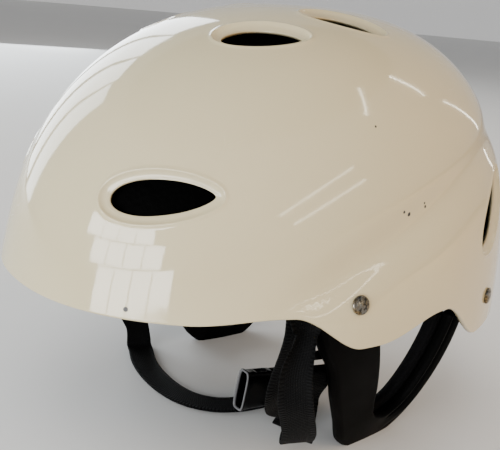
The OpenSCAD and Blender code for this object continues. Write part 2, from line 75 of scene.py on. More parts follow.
def metres(p):
    """Points of the helmet's own millimetres, in the frame's metres."""
    return (np.asarray(p, float) + (0, SHIFT_Y, STAND_H)) * MM


def smooth(a, b, x):
    t = np.clip((x - a) / (b - a), 0, 1)
    return t * t * (3 - 2 * t)


def unit(v):
    v = np.asarray(v, float)
    return v / np.maximum(np.linalg.norm(v, axis=-1, keepdims=True), 1e-12)


def off_front(phi):
    return np.abs((np.asarray(phi, float) + 180) % 360 - 180)


def edge_z(phi):
    s = off_front(phi)
    return (BRIM_Z + (TEMPLE_Z - BRIM_Z) * smooth(36, 53, s) - TEMPLE_Z * smooth(56, 73, s)
            + ARCH_Z * smooth(78, 99, s) + (NAPE_Z - ARCH_Z) * smooth(101, 120, s))


def liner_edge_z(phi):
    """The liner's lower edge. Behind the rear vents it is lower than the part's, and closes them."""
    s = off_front(phi)
    return 24 + 16 * smooth(44, 56, s) - 15 * smooth(108, 117, s) - 33 * smooth(128, 148, s)


def valley_z(phi):
    return 18 + 78 * np.sin(np.radians(90 * np.clip((off_front(phi) - 47) / 133, 0, 1)))


def skin_r(phi, z, inset=0.0):
    """Radius of the dome's skin from its leaning axis."""
    s, a = off_front(phi), np.radians(phi)
    long = np.where(np.cos(a) > 0, FRONT_L, REAR_L) - inset
    wide = np.abs(np.sin(a)) / (HALF_W - inset)
    plan = (wide ** PLAN_N + (np.abs(np.cos(a)) / long) ** PLAN_N) ** (-1 / PLAN_N)
    w, k = (1 + np.cos(a)) / 2, np.sin(a) ** 2
    q = SIDE_N * k + (1 - k) * (FRONT_N * w + REAR_N * (1 - w))
    h = np.clip(z / (CROWN_H - inset), 0, 1)
    valley = VALLEY_D * smooth(46, 70, s) * np.exp(-((z - valley_z(phi)) / VALLEY_W) ** 2)
    flare = (BRIM_FLARE * np.maximum(0, np.cos(np.radians(s / 1.2))) * np.exp(-np.maximum(0, z - BRIM_Z) / 18)
             + SKIRT_FLARE * smooth(46, 72, s) * smooth(valley_z(phi), edge_z(phi), z))
    return plan * (1 - h ** q) ** (1 / q) + flare - valley


def lean(z):
    return LEAN_Y * (np.maximum(0, z) / CROWN_H) ** 1.5


def skin(phi, z, inset=0.0):
    phi, z = np.broadcast_arrays(np.asarray(phi, float), np.asarray(z, float))
    r, a = skin_r(phi, z, inset), np.radians(phi)
    return np.stack([r * np.sin(a), lean(z) - r * np.cos(a), z], -1)


def skin_normal(phi, z):
    return unit(np.cross(skin(phi + 1, z) - skin(phi - 1, z), skin(phi, z + 1) - skin(phi, z - 1)))


def along(phi, z):
    """The direction along the shell at a bearing, level and towards the rear."""
    return unit((skin(phi + 1, z) - skin(phi - 1, z)) * (1, 1, 0))


def behind(phi, z, depth):
    return skin(phi, z) - skin_normal(phi, z) * depth


def on_skin(phi, z):
    """Centre, down-slope, level and outward directions of a place on the skin."""
    n = skin_normal(phi, z)
    level = unit([-n[1], n[0], 0])
    return skin(phi, z), np.cross(level, n), level, n


def spline(points, steps):
    """A smooth curve through given points."""
    p = np.asarray(points, float)
    out, n = [], len(p) - 1
    for i in range(n):
        a, b, c, d = p[max(0, i - 1)], p[i], p[i + 1], p[min(n, i + 2)]
        t = (np.arange(steps) / steps)[:, None]
        out.append(0.5 * (2 * b + (c - a) * t + (2 * a - 5 * b + 4 * c - d) * t ** 2
                          + (3 * b - a - 3 * c + d) * t ** 3))
    return np.vstack(out + [p[n:]])


# ---- Camera ----
IMAGE_W, FOCAL_PX, SENSOR = 500, 755.3, 36.0
AZIMUTH, ELEVATION, ROLL, DISTANCE = 51.93, 16.57, 5.02, 0.420


def add_camera():
    azimuth, elevation, roll = (math.radians(v) for v in (AZIMUTH, ELEVATION, ROLL))
    back = Vector((math.sin(azimuth) * math.cos(elevation), -math.cos(azimuth) * math.cos(elevation),
                   math.sin(elevation)))
    right = Vector((math.cos(azimuth), math.sin(azimuth), 0))
    up = back.cross(right)
    across = right * math.cos(roll) + up * math.sin(roll)
    upward = up * math.cos(roll) - right * math.sin(roll)
    data = bpy.data.cameras.new("camera")
    data.sensor_width = SENSOR
    data.lens = FOCAL_PX / IMAGE_W * SENSOR
    data.clip_start = 0.01
    camera = bpy.data.objects.new("camera", data)
    bpy.context.scene.collection.objects.link(camera)
    target = Vector(metres((3.68, -20.9, 26.0)))
    matrix = Matrix((across, upward, back)).transposed().to_4x4()
    matrix.translation = target + back * DISTANCE
    camera.matrix_world = matrix
    bpy.context.scene.camera = camera


add_camera()


# ---- Materials ----
class Nodes:
    """Short form for building a material's nodes: an input is a socket to link or a plain value."""

    def __init__(self, name):
        self.material = bpy.data.materials.new(name)
        self.material.use_nodes = True
        self.tree = self.material.node_tree
        self.shader = self.tree.nodes["Principled BSDF"]
        self.position = self.add("ShaderNodeTexCoord").outputs["Object"]

    def add(self, kind, inputs=(), **settings):
        node = self.tree.nodes.new(kind)
        for key, value in settings.items():
            setattr(node, key, value)
        for key, value in dict(inputs).items():
            self.put(node.inputs[key], value)
        return node

    def put(self, socket, value):
        if isinstance(value, bpy.types.NodeSocket):
            self.tree.links.new(value, socket)
        else:
            socket.default_value = value

    def math(self, operation, a, b=0.0, c=0.0):
        return self.add("ShaderNodeMath", {0: a, 1: b, 2: c}, operation=operation).outputs[0]

    def noise(self, scale, detail=4.0, rough=0.5, vector=None, distortion=0.0):
        inputs = {"Vector": vector or self.position, "Scale": scale, "Detail": detail, "Roughness": rough,
                  "Distortion": distortion}
        return self.add("ShaderNodeTexNoise", inputs).outputs["Fac"]

    def cells(self, scale, feature="F1", vector=None):
        return self.add("ShaderNodeTexVoronoi", {"Vector": vector or self.position, "Scale": scale},
                        feature=feature).outputs["Distance"]

    def ramp(self, value, low, high, a=0.0, b=1.0):
        return self.add("ShaderNodeMapRange", {"Value": value, "From Min": low, "From Max": high,
                                               "To Min": a, "To Max": b}).outputs["Result"]

    def blend(self, factor, a, b):
        node = self.add("ShaderNodeMix", data_type="RGBA")
        for socket, value in zip((node.inputs[0], node.inputs[6], node.inputs[7]), (factor, a, b)):
            self.put(socket, value)
        return node.outputs[2]

    def bump(self, height, distance, strength=1.0, normal=None):
        inputs = {"Height": height, "Distance": distance, "Strength": strength}
        if normal:
            inputs["Normal"] = normal
        return self.add("ShaderNodeBump", inputs).outputs["Normal"]

    def finish(self, **inputs):
        for key, value in inputs.items():
            self.put(self.shader.inputs[key.replace("_", " ")], value)
        return self.material


def shade(r, g, b):
    return (r, g, b, 1.0)


def attribute(nodes, name):
    return nodes.add("ShaderNodeAttribute", attribute_name=name).outputs["Fac"]


# Small chips in the coat on the left side and the brim: bearing, height and radius
CHIPS = [(83.5, 59.7, 0.85), (85.6, 58.2, 1.1), (92, 60.6, 0.85), (91.5, 62.4, 0.65), (26, 18.5, 1.2),
         (74, 97, 0.6)]
CHIP_SOFTNESS = 0.3                              # width of a chip's blurred edge


def coat_material():
    n = Nodes("gloss_coat")
    tint = n.noise(9.0, 3.0)
    colour = n.blend(tint, shade(0.625, 0.548, 0.350), shade(0.590, 0.510, 0.315))
    # darker towards the vent holes and on the rolled edges, in patches
    rim_darkening = n.math("MULTIPLY", n.ramp(attribute(n, "rim"), 0.0, 1.0), n.ramp(n.noise(160, 6), 0.35, 0.75))
    colour = n.blend(n.math("MULTIPLY", rim_darkening, 0.35), colour, shade(0.45, 0.40, 0.31))
    specks = n.ramp(n.cells(150), 0.035, 0.02)
    specks = n.math("MULTIPLY", specks, n.ramp(n.noise(22, 2), 0.60, 0.68))
    chips = n.math("MULTIPLY", specks, 0.6)
    wobble = n.math("MULTIPLY", n.noise(900, 2), 0.5 * MM)
    for phi, z, radius in CHIPS:
        place = metres(skin(phi, z))
        away = n.add("ShaderNodeVectorMath", {0: n.position, 1: tuple(place)}, operation="DISTANCE")
        away = n.math("ADD", away.outputs["Value"], wobble)
        chips = n.math("MAXIMUM", chips, n.ramp(away, (radius + CHIP_SOFTNESS) * MM, radius * MM))
    colour = n.blend(chips, colour, shade(0.02, 0.018, 0.016))
    # fine hairline scratches, in patches
    stretched = n.add("ShaderNodeMapping", {"Vector": n.position, "Rotation": (0.5, 0.25, 0.9),
                                            "Scale": (1.0, 0.16, 0.5)}).outputs["Vector"]
    lines = n.ramp(n.cells(95, "DISTANCE_TO_EDGE", stretched), 0.010, 0.0)
    lines = n.math("MULTIPLY", lines, n.ramp(n.noise(30, 3), 0.55, 0.66))
    peel = n.noise(420, 2, 0.4)
    rough = n.math("ADD", n.ramp(n.noise(14, 5), 0.3, 0.8, 0.055, 0.12), n.math("MULTIPLY", lines, 0.25))
    rough = n.math("ADD", rough, n.math("MULTIPLY", chips, 0.5))
    normal = n.bump(peel, 0.03 * MM, 0.35)
    marks = n.math("ADD", lines, n.math("MULTIPLY", chips, 3.0))
    normal = n.bump(n.math("MULTIPLY", marks, -1.0), 0.04 * MM, 0.6, normal)
    return n.finish(Base_Color=colour, Roughness=rough, Normal=normal, Coat_Weight=0.35, Coat_Roughness=0.04,
                    IOR=1.5)


def inside_material():
    """The shell's uncoated inner face."""
    n = Nodes("moulded_inside")
    colour = n.blend(n.noise(40, 4), shade(0.70, 0.68, 0.62), shade(0.62, 0.60, 0.54))
    return n.finish(Base_Color=colour, Roughness=0.42, Normal=n.bump(n.noise(900, 3), 0.05 * MM, 0.5))


def foam_material(name, base, scale, depth, shine):
    """Closed-cell foam with a fine skin."""
    n = Nodes(name)
    cell = n.cells(scale)
    broad = n.noise(25, 5)
    dark, light = (shade(*(base * k for _ in range(3))) for k in (0.8, 1.35))
    rough = n.ramp(broad, 0.3, 0.7, 0.42, 0.60)
    normal = n.bump(cell, depth * MM, 0.5, n.bump(broad, 0.5 * MM, 0.12))
    return n.finish(Base_Color=n.blend(broad, dark, light), Roughness=rough, Normal=normal,
                    Specular_IOR_Level=shine)


def pad_material():
    """Knitted cover of the pads, with a soft sheen."""
    n = Nodes("knit_cover")
    loops = n.cells(1050)
    broad = n.noise(30, 4)
    colour = n.blend(broad, shade(0.003, 0.003, 0.0035), shade(0.006, 0.006, 0.0065))
    normal = n.bump(loops, 0.25 * MM, 0.8, n.bump(broad, 1.0 * MM, 0.15))
    return n.finish(Base_Color=colour, Roughness=n.ramp(loops, 0.0, 0.6, 0.65, 0.85), Normal=normal,
                    Sheen_Weight=0.02, Sheen_Roughness=0.4, Specular_IOR_Level=0.06)


RIB_PITCH = 1.7                                  # of the selvedge's ribs, in millimetres


def web_material():
    """Webbing: fine lengthwise yarns with a twill shift in the middle, and ribbed selvedges."""
    n = Nodes("webbing")
    split = n.add("ShaderNodeSeparateXYZ", {"Vector": n.add("ShaderNodeUVMap", uv_map="web").outputs["UV"]})
    u, v = split.outputs["X"], split.outputs["Y"]
    middle = n.ramp(n.math("ABSOLUTE", n.math("SUBTRACT", u, 0.5)), 0.30, 0.34, 1.0, 0.0)
    yarn = n.math("SINE", n.math("MULTIPLY", u, 2 * math.pi * 15))
    column = n.math("FLOOR", n.math("MULTIPLY", u, 15.0))
    shift = n.math("MULTIPLY", n.math("MODULO", column, 3.0), 0.45 * MM)
    picks = n.math("SINE", n.math("MULTIPLY", n.math("ADD", v, shift), 2 * math.pi / (1.25 * MM)))
    ribs = n.math("SINE", n.math("MULTIPLY", v, 2 * math.pi / (RIB_PITCH * MM)))
    fill = n.math("ADD", n.math("MULTIPLY", yarn, 0.5), n.math("MULTIPLY", picks, 0.5))
    height = n.math("ADD", n.math("MULTIPLY", fill, middle),
                    n.math("MULTIPLY", ribs, n.math("SUBTRACT", 1.0, middle)))
    fuzz = n.noise(2500, 3)
    # painted shade and highlight: the weave's hollows are coloured darker and its crowns lighter, following its
    # relief
    colour = n.blend(n.ramp(height, -1.0, 1.0), shade(0.0006, 0.0006, 0.0008), shade(0.0050, 0.0052, 0.0055))
    colour = n.blend(n.ramp(n.noise(35, 3), 0.45, 0.8, 0.0, 0.35), colour, shade(0.0075, 0.0072, 0.0066))
    height = n.math("ADD", height, n.math("MULTIPLY", fuzz, 0.6))
    return n.finish(Base_Color=colour, Roughness=n.ramp(fuzz, 0.3, 0.7, 0.5, 0.72),
                    Normal=n.bump(height, 0.16 * MM, 0.9), Sheen_Weight=0.01, Sheen_Roughness=0.35,
                    Specular_IOR_Level=0.05)


def plastic_material():
    n = Nodes("moulded_plastic")
    broad = n.noise(60, 5)
    colour = n.blend(broad, shade(0.0008, 0.0008, 0.0010), shade(0.0018, 0.0018, 0.0020))
    # painted highlight: where the rim attribute is 1, on the socket's mouth lip, the black plastic is coloured
    # light grey
    colour = n.blend(attribute(n, "rim"), colour, shade(0.14, 0.14, 0.145))
    normal = n.bump(n.noise(1500, 3), 0.03 * MM, 0.5)
    return n.finish(Base_Color=colour, Roughness=n.ramp(broad, 0.3, 0.7, 0.16, 0.30), Normal=normal,
                    Specular_IOR_Level=0.10)


def nickel_material():
    """Worn plated metal, mottled with dark pits and a warm tone where the plating thins."""
    n = Nodes("worn_nickel")
    mottle = n.noise(700, 6, 0.65)
    pits = n.ramp(mottle, 0.50, 0.58)
    warm = n.ramp(n.noise(260, 3), 0.45, 0.65)
    colour = n.blend(warm, shade(0.20, 0.19, 0.17), shade(0.26, 0.18, 0.08))
    colour = n.blend(n.math("MULTIPLY", pits, 0.85), colour, shade(0.03, 0.027, 0.022))
    return n.finish(Base_Color=colour, Metallic=1.0, Roughness=n.ramp(mottle, 0.35, 0.65, 0.16, 0.5),
                    Normal=n.bump(mottle, 0.12 * MM, 0.7))


MATERIALS = {
    "coat": coat_material(), "inside": inside_material(), "pad": pad_material(), "web": web_material(),
    "foam": foam_material("guard_foam", 0.0012, 1400, 0.06, 0.03),
    "liner": foam_material("liner_foam", 0.0004, 420, 0.25, 0.01),
    "plastic": plastic_material(), "nickel": nickel_material(),
}


# ---- Mesh building ----
def piece(name, points, faces, look, normals=None, uv=None, attributes=(), smooth_faces=True):
    """A mesh object from points in the helmet's millimetres."""
    mesh = bpy.data.meshes.new(name)
    mesh.from_pydata(metres(points).tolist(), [], [list(map(int, f)) for f in faces])
    mesh.materials.append(MATERIALS[look])
    if uv is not None:
        layer = mesh.uv_layers.new(name="web")
        corner = np.zeros(len(mesh.loops), int)
        mesh.loops.foreach_get("vertex_index", corner)
        layer.data.foreach_set("uv", np.asarray(uv, float)[corner].ravel())
    for key, values in dict(attributes).items():
        mesh.attributes.new(key, "FLOAT", "POINT").data.foreach_set("value", np.asarray(values, float))
    mesh.polygons.foreach_set("use_smooth", [smooth_faces] * len(mesh.polygons))
    if normals is not None:
        mesh.normals_split_custom_set_from_vertices(np.asarray(normals, float).tolist())
    made = bpy.data.objects.new(name, mesh)
    bpy.context.scene.collection.objects.link(made)
    return made


def placed(made, body, *nodes):
    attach(made, body)
    if nodes:
        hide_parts(*nodes)
    return made


def tube_faces(rings, around, first=0, closed=True, caps=True):
    """Faces of a loft through rings of the same number of points."""
    faces = []
    for i in range(rings - 1):
        for j in range(around if closed else around - 1):
            a, b = first + i * around + j, first + i * around + (j + 1) % around
            faces.append((a, b, b + around, a + around))
    if caps:
        faces.append(tuple(first + j for j in range(around - 1, -1, -1)))
        faces.append(tuple(first + (rings - 1) * around + j for j in range(around)))
    return faces


def loft(name, rings, look, caps=True, **more):
    """A closed solid through rings; its faces are turned outwards."""
    rings = np.asarray(rings, float)
    points = rings.reshape(-1, 3)
    made = piece(name, points, tube_faces(len(rings), rings.shape[1], caps=caps), look, **more)
    face_outwards(made)
    return made


def face_outwards(made):
    """Turns a closed mesh right side out, by the sign of its volume."""
    mesh = made.data
    mesh.calc_loop_triangles()
    co = np.zeros(len(mesh.vertices) * 3)
    mesh.vertices.foreach_get("co", co)
    tri = np.zeros(len(mesh.loop_triangles) * 3, int)
    mesh.loop_triangles.foreach_get("vertices", tri)
    a, b, c = co.reshape(-1, 3)[tri.reshape(-1, 3)].transpose(1, 0, 2)
    if np.einsum("ij,ij->", a, np.cross(b, c)) < 0:
        mesh.flip_normals()


def turned_to(points, faces, normals):
    """The faces, each turned so that it looks the way its points' normals do."""
    out = []
    for f in faces:
        a, b, c = points[f[0]], points[f[1]], points[f[2]]
        out.append(f if np.dot(np.cross(b - a, c - a), normals[list(f)].sum(0)) >= 0 else tuple(f[::-1]))
    return out


def modify(made, kind, **settings):
    modifier = made.modifiers.new(kind.lower(), kind)
    for key, value in settings.items():
        setattr(modifier, key, value)
    return made


# ---- Shell ----
VENT_POINTS = 96
# The vent's bevelled rim: distances out from the hole, and how far the face stands off the skin there
RIM_AT = [0.0, 0.35, 0.7, 1.0, 1.6, 2.3, 2.8, 3.1, 3.4, 3.8, 4.4, 5.6]
RIM_RISE = [-2.0, -1.75, -1.65, -1.6, -1.3, -0.85, -0.25, 0.22, 0.45, 0.42, 0.1, 0.0]
VENT_GROW = 0.7                                  # the rim's slope starts a little outside the cut
SHELL_RINGS = 74
EDGE_POINTS = 320
SHELL_LOW = 0.9                                  # the rolled edge takes up this height


class Vent:
    """A vent's frame on the skin, and its outline in that frame."""

    def __init__(self, phi, z, share, rise, right):
        centre, down, level, normal = on_skin(phi, z)
        turn = math.radians(90 + rise)
        flip = np.array([-1, 1, 1]) if right else np.array([1, 1, 1])
        self.centre, self.normal = centre * flip, normal * flip
        self.x = (down * math.cos(turn) + level * math.sin(turn)) * flip
        self.y = (level * math.cos(turn) - down * math.sin(turn)) * flip
        a = np.linspace(0, 2 * math.pi, VENT_POINTS, endpoint=False)
        x = VENT_L * share / 2 * np.cos(a)
        y = VENT_H / 1.78 * np.sin(a) * np.abs(np.sin(a / 2)) ** 0.45
        cut = np.stack([x, y], -1)
        ahead = np.roll(cut, -1, 0) - np.roll(cut, 1, 0)
        self.out = unit(np.stack([ahead[:, 1], -ahead[:, 0]], -1))
        self.outline = cut + self.out * VENT_GROW

    def ring(self, distance):
        flat = self.outline + self.out * distance
        return self.centre + flat[:, :1] * self.x + flat[:, 1:] * self.y

    def distance(self, p):
        """Signed distance of points from the outline, far ones as 99."""
        q = p - self.centre
        flat = np.stack([q @ self.x, q @ self.y], -1)
        far = (np.abs(q @ self.normal) > 22) | (np.linalg.norm(flat, axis=-1) > VENT_L)
        a, b = self.outline, np.roll(self.outline, -1, 0)
        d = np.full(len(p), 99.0)
        near = flat[~far]
        if len(near):
            w, e = near[:, None] - a[None], (b - a)[None]
            t = np.clip((w * e).sum(-1) / (e * e).sum(-1), 0, 1)
            gap = np.linalg.norm(w - e * t[..., None], axis=-1).min(1)
            cross = (a[None, :, 1] > near[:, None, 1]) != (b[None, :, 1] > near[:, None, 1])
            with np.errstate(divide="ignore", invalid="ignore"):
                along_edge = (near[:, None, 1] - a[None, :, 1]) / (b - a)[None, :, 1]
                at = a[None, :, 0] + along_edge * (b - a)[None, :, 0]
            inside = (cross & (near[:, None, 0] < at)).sum(1) % 2 == 1
            d[~far] = np.where(inside, -gap, gap)
        return d


vents = [Vent(*v, right) for v in VENTS for right in (False, True)]


def vent_distance(p):
    return np.min([v.distance(p) for v in vents], 0)


def low_z(phi):
    return edge_z(phi) + SHELL_LOW


def flat_of(phi, z):
    """Place of a skin point in the flat disc that the shell is meshed in."""
    low = low_z(phi)
    share = 1 - np.degrees(np.arcsin(np.clip((z - low) / (CROWN_H - low), -1, 1))) / 90
    a = np.radians(phi)
    return np.stack([share * np.sin(a), share * np.cos(a)], -1)


def skin_of(flat):
    """Bearing and height of a place in the flat disc."""
    phi = np.degrees(np.arctan2(flat[:, 0], flat[:, 1]))
    low = low_z(phi)
    return phi, low + (CROWN_H - low) * np.sin(np.radians(90 * (1 - np.clip(np.hypot(*flat.T), 0, 1.02))))


def drop_to_skin(p, n):
    """Moves points along n onto the skin, by halving, and gives their place in the disc."""
    low, high = np.full(len(p), -14.0), np.full(len(p), 14.0)
    for _ in range(40):
        half = (low + high) / 2
        q = p + n * half[:, None]
        y = q[:, 1] - lean(q[:, 2])
        outside = np.hypot(q[:, 0], y) > skin_r(np.degrees(np.arctan2(q[:, 0], -y)), q[:, 2])
        low, high = np.where(outside, low, half), np.where(outside, half, high)
    return flat_of(np.degrees(np.arctan2(q[:, 0], -y)), q[:, 2])


def outer_face(flat):
    """The shell's outer face with its vent rims, from places in the disc."""
    step = 0.003

    def plain(f):
        return skin(*skin_of(f))

    def normal_of(shape, f):
        du, dv = np.array([step, 0]), np.array([0, step])
        return unit(np.cross(shape(f + dv) - shape(f - dv), shape(f + du) - shape(f - du)))

    def rimmed(f):
        p = plain(f)
        rise = np.interp(vent_distance(p), RIM_AT, RIM_RISE)
        return p + normal_of(plain, f) * rise[:, None]

    fine, step = rimmed(flat), 0.0012
    return fine, normal_of(rimmed, flat), normal_of(plain, flat)


def disc_mesh():
    """Places in the disc, the triangles between them, and each vent's loop of points."""
    a = np.linspace(0, 2 * math.pi, EDGE_POINTS, endpoint=False)
    places = [np.stack([np.sin(a), np.cos(a)], -1)]
    edges = [(i, (i + 1) % EDGE_POINTS) for i in range(EDGE_POINTS)]
    loops, count = [], EDGE_POINTS
    for vent in vents:
        for k, distance in enumerate(RIM_AT):
            places.append(drop_to_skin(vent.ring(distance), vent.normal))
            if k == 0:
                loops.append(np.arange(count, count + VENT_POINTS))
                edges += [(count + i, count + (i + 1) % VENT_POINTS) for i in range(VENT_POINTS)]
            count += VENT_POINTS
    for i in range(1, SHELL_RINGS):
        share = 1 - i / SHELL_RINGS
        n = max(6, int(EDGE_POINTS * share ** 0.8))
        a = np.linspace(0, 2 * math.pi, n, endpoint=False) + i * 0.5
        ring = share * np.stack([np.sin(a), np.cos(a)], -1)
        places.append(ring[vent_distance(skin(*skin_of(ring))) > RIM_AT[-1] + 0.9])
    flat = np.vstack(places)
    made = delaunay_2d_cdt([Vector(p) for p in flat], edges, [], 1, 1e-7)
    assert len(made[0]) == len(flat), "the shell's places ran together"
    tris = np.array(made[2])
    centre = skin(*skin_of(flat[tris].mean(1)))
    return flat, tris[vent_distance(centre) > 0], loops


def add_shell():
    flat, tris, loops = disc_mesh()
    outer, rim_normals, plain_normals = outer_face(flat)
    distance = vent_distance(outer)
    depth = SHELL_T + 1.4 * (1 - smooth(0, 7, distance))
    inner = skin(*skin_of(flat)) - plain_normals * depth[:, None]
    n = len(outer)
    points, normals = [outer, inner], [rim_normals, -plain_normals]
    faces = [tuple(t[::-1]) for t in tris] + [tuple(t + n) for t in tris]
    rim = [np.exp(-np.maximum(distance, 0) / 2.0), np.zeros(n)]
    count = 2 * n

    def roll(loop, drop, steps):
        """A rounded edge from the outer face to the inner one along a loop."""
        nonlocal count
        a, b = outer[loop], inner[loop]
        rows = [loop]
        for i in range(1, steps):
            t = math.pi * i / steps
            way = (a - b) / 2 * math.cos(t) + drop * math.sin(t)
            points.append((a + b) / 2 + way)
            normals.append(unit(way))
            rim.append(np.full(len(loop), 0.6))
            rows.append(np.arange(count, count + len(loop)))
            count += len(loop)
        rows.append(loop + n)
        for first, second in zip(rows, rows[1:]):
            for j in range(len(loop)):
                k = (j + 1) % len(loop)
                faces.append((first[j], first[k], second[k], second[j]))

    roll(np.arange(EDGE_POINTS), np.array([0, 0, -SHELL_LOW * 1.2]), 8)
    for vent, loop in zip(vents, loops):
        middle = outer[loop].mean(0)
        roll(loop, unit(middle - outer[loop]) * 0.45, 5)
    faces = turned_to(np.vstack(points), faces, np.vstack(normals))
    shell = piece("shell_body", np.vstack(points), faces, "coat", attributes={"rim": np.concatenate(rim)})
    mesh = shell.data
    mesh.materials.append(MATERIALS["inside"])
    index = np.zeros(len(mesh.polygons), int)
    index[len(tris):2 * len(tris)] = 1
    mesh.polygons.foreach_set("material_index", index)
    mesh.normals_split_custom_set_from_vertices(np.vstack(normals).tolist())
    placed(shell, "helmet", "shell")


add_shell()


# ---- Lining and fasteners ----
def add_liner():
    """The foam bowl, with a rounded lower rim and shallow channels on its inner face."""
    around, rows, turn_rows = 240, 44, 6
    phi = np.linspace(0, 360, around, endpoint=False)
    middle = LINER_GAP + LINER_T / 2
    low = liner_edge_z(phi)
    rings = []

    def ring(share, inset):
        z = low + (CROWN_H - inset - low) * np.sin(math.radians(90 * share))
        rings.append(skin(phi, z, inset))

    for i in range(rows - 1, -1, -1):
        ring(0.03 + 0.96 * i / rows, LINER_GAP)
    for i in range(1, turn_rows):
        a = math.pi * i / turn_rows
        ring(0.03 - 0.022 * math.sin(a), middle - LINER_T / 2 * math.cos(a))
    for i in range(rows):
        channel = 1.4 * np.exp(-((np.mod(phi + 15, 30) - 15) / 3.0) ** 2) * smooth(0.05, 0.2, i / rows)
        z = low + (CROWN_H - LINER_GAP - LINER_T - low) * np.sin(math.radians(90 * (0.03 + 0.96 * i / rows)))
        outwards = skin_normal(phi, np.maximum(z, 1.0))
        rings.append(skin(phi, z, LINER_GAP + LINER_T) + outwards * channel[:, None])
    placed(loft("liner_bowl", rings, "liner"), "helmet", "foam_liner")


def pad(name, node, place, body="helmet"):
    """A stuffed pad. place gives the points at a share across, a share up and a share of the thickness."""
    n = 48
    t = np.linspace(-1, 1, n)
    a, b = np.meshgrid(t, t, indexing="ij")
    x, y = a * np.sqrt(1 - 0.22 * b * b), b * np.sqrt(1 - 0.22 * a * a)
    r = np.maximum(np.abs(a), np.abs(b))
    full = np.sqrt(np.clip(1 - r ** 5, 0, 1))
    seam = 0.13 * np.exp(-((r - 0.86) / 0.03) ** 2)
    crease = 0.05 * np.exp(-(a / 0.03) ** 2) * (1 - r ** 4)
    top = place(x, y, 0.18 + 0.82 * full - seam - crease)
    bottom = place(x, y, 0.18 * (1 - full))
    points = np.concatenate([top.reshape(-1, 3), bottom.reshape(-1, 3)])
    faces = []
    for i in range(n - 1):
        for j in range(n - 1):
            k = i * n + j
            faces += [(k, k + 1, k + n + 1, k + n), tuple(n * n + m for m in (k + n, k + n + 1, k + 1, k))]
    rim = ([i * n for i in range(n)] + [(n - 1) * n + j for j in range(1, n)]
           + [i * n + n - 1 for i in range(n - 2, -1, -1)] + list(range(n - 2, 0, -1)))
    for p, q in zip(rim, rim[1:] + rim[:1]):
        faces.append((p, q, n * n + q, n * n + p))
    made = piece(name, points, faces, "pad")
    face_outwards(made)
    placed(made, body, node)


def lining_pad(phi_a, phi_b, low, high, flip=1):
    def place(x, y, share):
        phi = (phi_a + phi_b) / 2 + (phi_b - phi_a) / 2 * x
        z = (low + high) / 2 + (high - low) / 2 * y
        return skin(phi, z, 0) * (flip, 1, 1) - skin_normal(phi, z) * (flip, 1, 1) * (
            PAD_INSET + PAD_T * share)[..., None]
    return place


def crown_place(x, y, share):
    """The crown pad is a round patch at the top of the dome."""
    phi, t = np.degrees(np.arctan2(x, -y)), np.hypot(x, y) / 1.12
    inset = PAD_INSET + PAD_T * share
    z = CROWN_PAD_Z + (CROWN_H - inset - CROWN_PAD_Z) * np.sqrt(np.clip(1 - t ** 2, 0, 1))
    s = np.sqrt(np.clip(1 - (1 - t ** 2) * 0.999, 0, 1))
    edge = skin(phi, np.full_like(phi, CROWN_PAD_Z), PAD_INSET + PAD_T / 2)
    return np.stack([edge[..., 0] * s, LEAN_Y + (edge[..., 1] - LEAN_Y) * s, z], -1)


def add_lining():
    add_liner()
    pad("crown_cushion", "crown_pad", crown_place)
    pad("brow_cushion", "brow_pad", lining_pad(-52, 52, 27, 50))
    pad("nape_cushion", "nape_pad", lining_pad(138, 222, -12, 30))
    for side, flip in (("left", 1), ("right", -1)):
        pad(f"side_cushion_{side}", f"side_pad_{side}", lining_pad(66, 108, 44, 74, flip))


def lathe(profile, around=48):
    """Points and faces turned about +Z from (radius, height) pairs that start and end on the axis."""
    a = np.linspace(0, 2 * math.pi, around, endpoint=False)
    rings = [np.stack([r * np.cos(a), r * np.sin(a), np.full(around, h)], -1) for r, h in profile]
    return np.vstack(rings), tube_faces(len(profile), around)


HEAD_TRIM = 0.35                                 # the heads are drawn a little smaller than the part's


def add_rivets():
    a = np.linspace(0, 1, 9)
    head = RIVET_R - HEAD_TRIM
    crown = [(head * math.cos(t * math.pi / 2), 0.75 + 1.25 * math.sin(t * math.pi / 2)) for t in a[:-1]]
    for i, (phi, z) in enumerate(RIVETS):
        grip = (6.6, 8.2)[i]
        profile = ([(0.02, -grip - 0.8), (3.2, -grip - 0.8), (3.3, -grip), (2.1, -grip), (2.1, 0.25),
                    (head - 0.1, 0.25), (head + 0.05, 0.5)] + crown + [(0.02, 2.0)])
        points, faces = lathe(profile)
        centre, down, level, normal = on_skin(phi, z)
        for flip in (1, -1):
            p = (centre + points @ np.stack([down, level, normal])) * (flip, 1, 1)
            made = piece(f"rivet_{i}_{'left' if flip > 0 else 'right'}", p, faces, "nickel")
            face_outwards(made)
            placed(made, "helmet", "rivets")


def trim_cad(node, look, width, segments=2):
    """Keeps a CAD piece and rounds its edges."""
    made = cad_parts[node]
    made.data.materials.clear()
    made.data.materials.append(MATERIALS[look])
    modify(made, "WELD", merge_threshold=0.01 * MM)
    modify(made, "BEVEL", width=width * MM, segments=segments, limit_method="ANGLE",
           angle_limit=math.radians(38), harden_normals=False)
    return made


# ---- Ear guards ----
GUARD_OUTER = [[-52, 11.4], [-44.5, -5], [-34.5, -20], [-26.5, -38], [-16, -57], [-4, -77], [10, -85],
               [28, -84.5], [48, -74], [61, -52], [66, -29], [65, -7]]
GUARD_INNER = [[-15, 11.4], [-10, -4], [-4, -20], [2, -36], [7, -51], [12, -60], [18, -64], [26, -65],
               [36, -58], [43, -43], [47, -25], [49, -6]]
GUARD_STEPS = 14


def guard_x(y, z):
    long = np.where(y < 0, FRONT_L, REAR_L)
    return ((HALF_W - 5.5) * (1 - (np.abs(y) / long) ** PLAN_N) ** (1 / PLAN_N)
            - GUARD_LEAN * (np.maximum(0, 12 - z) / 92) ** 1.5)


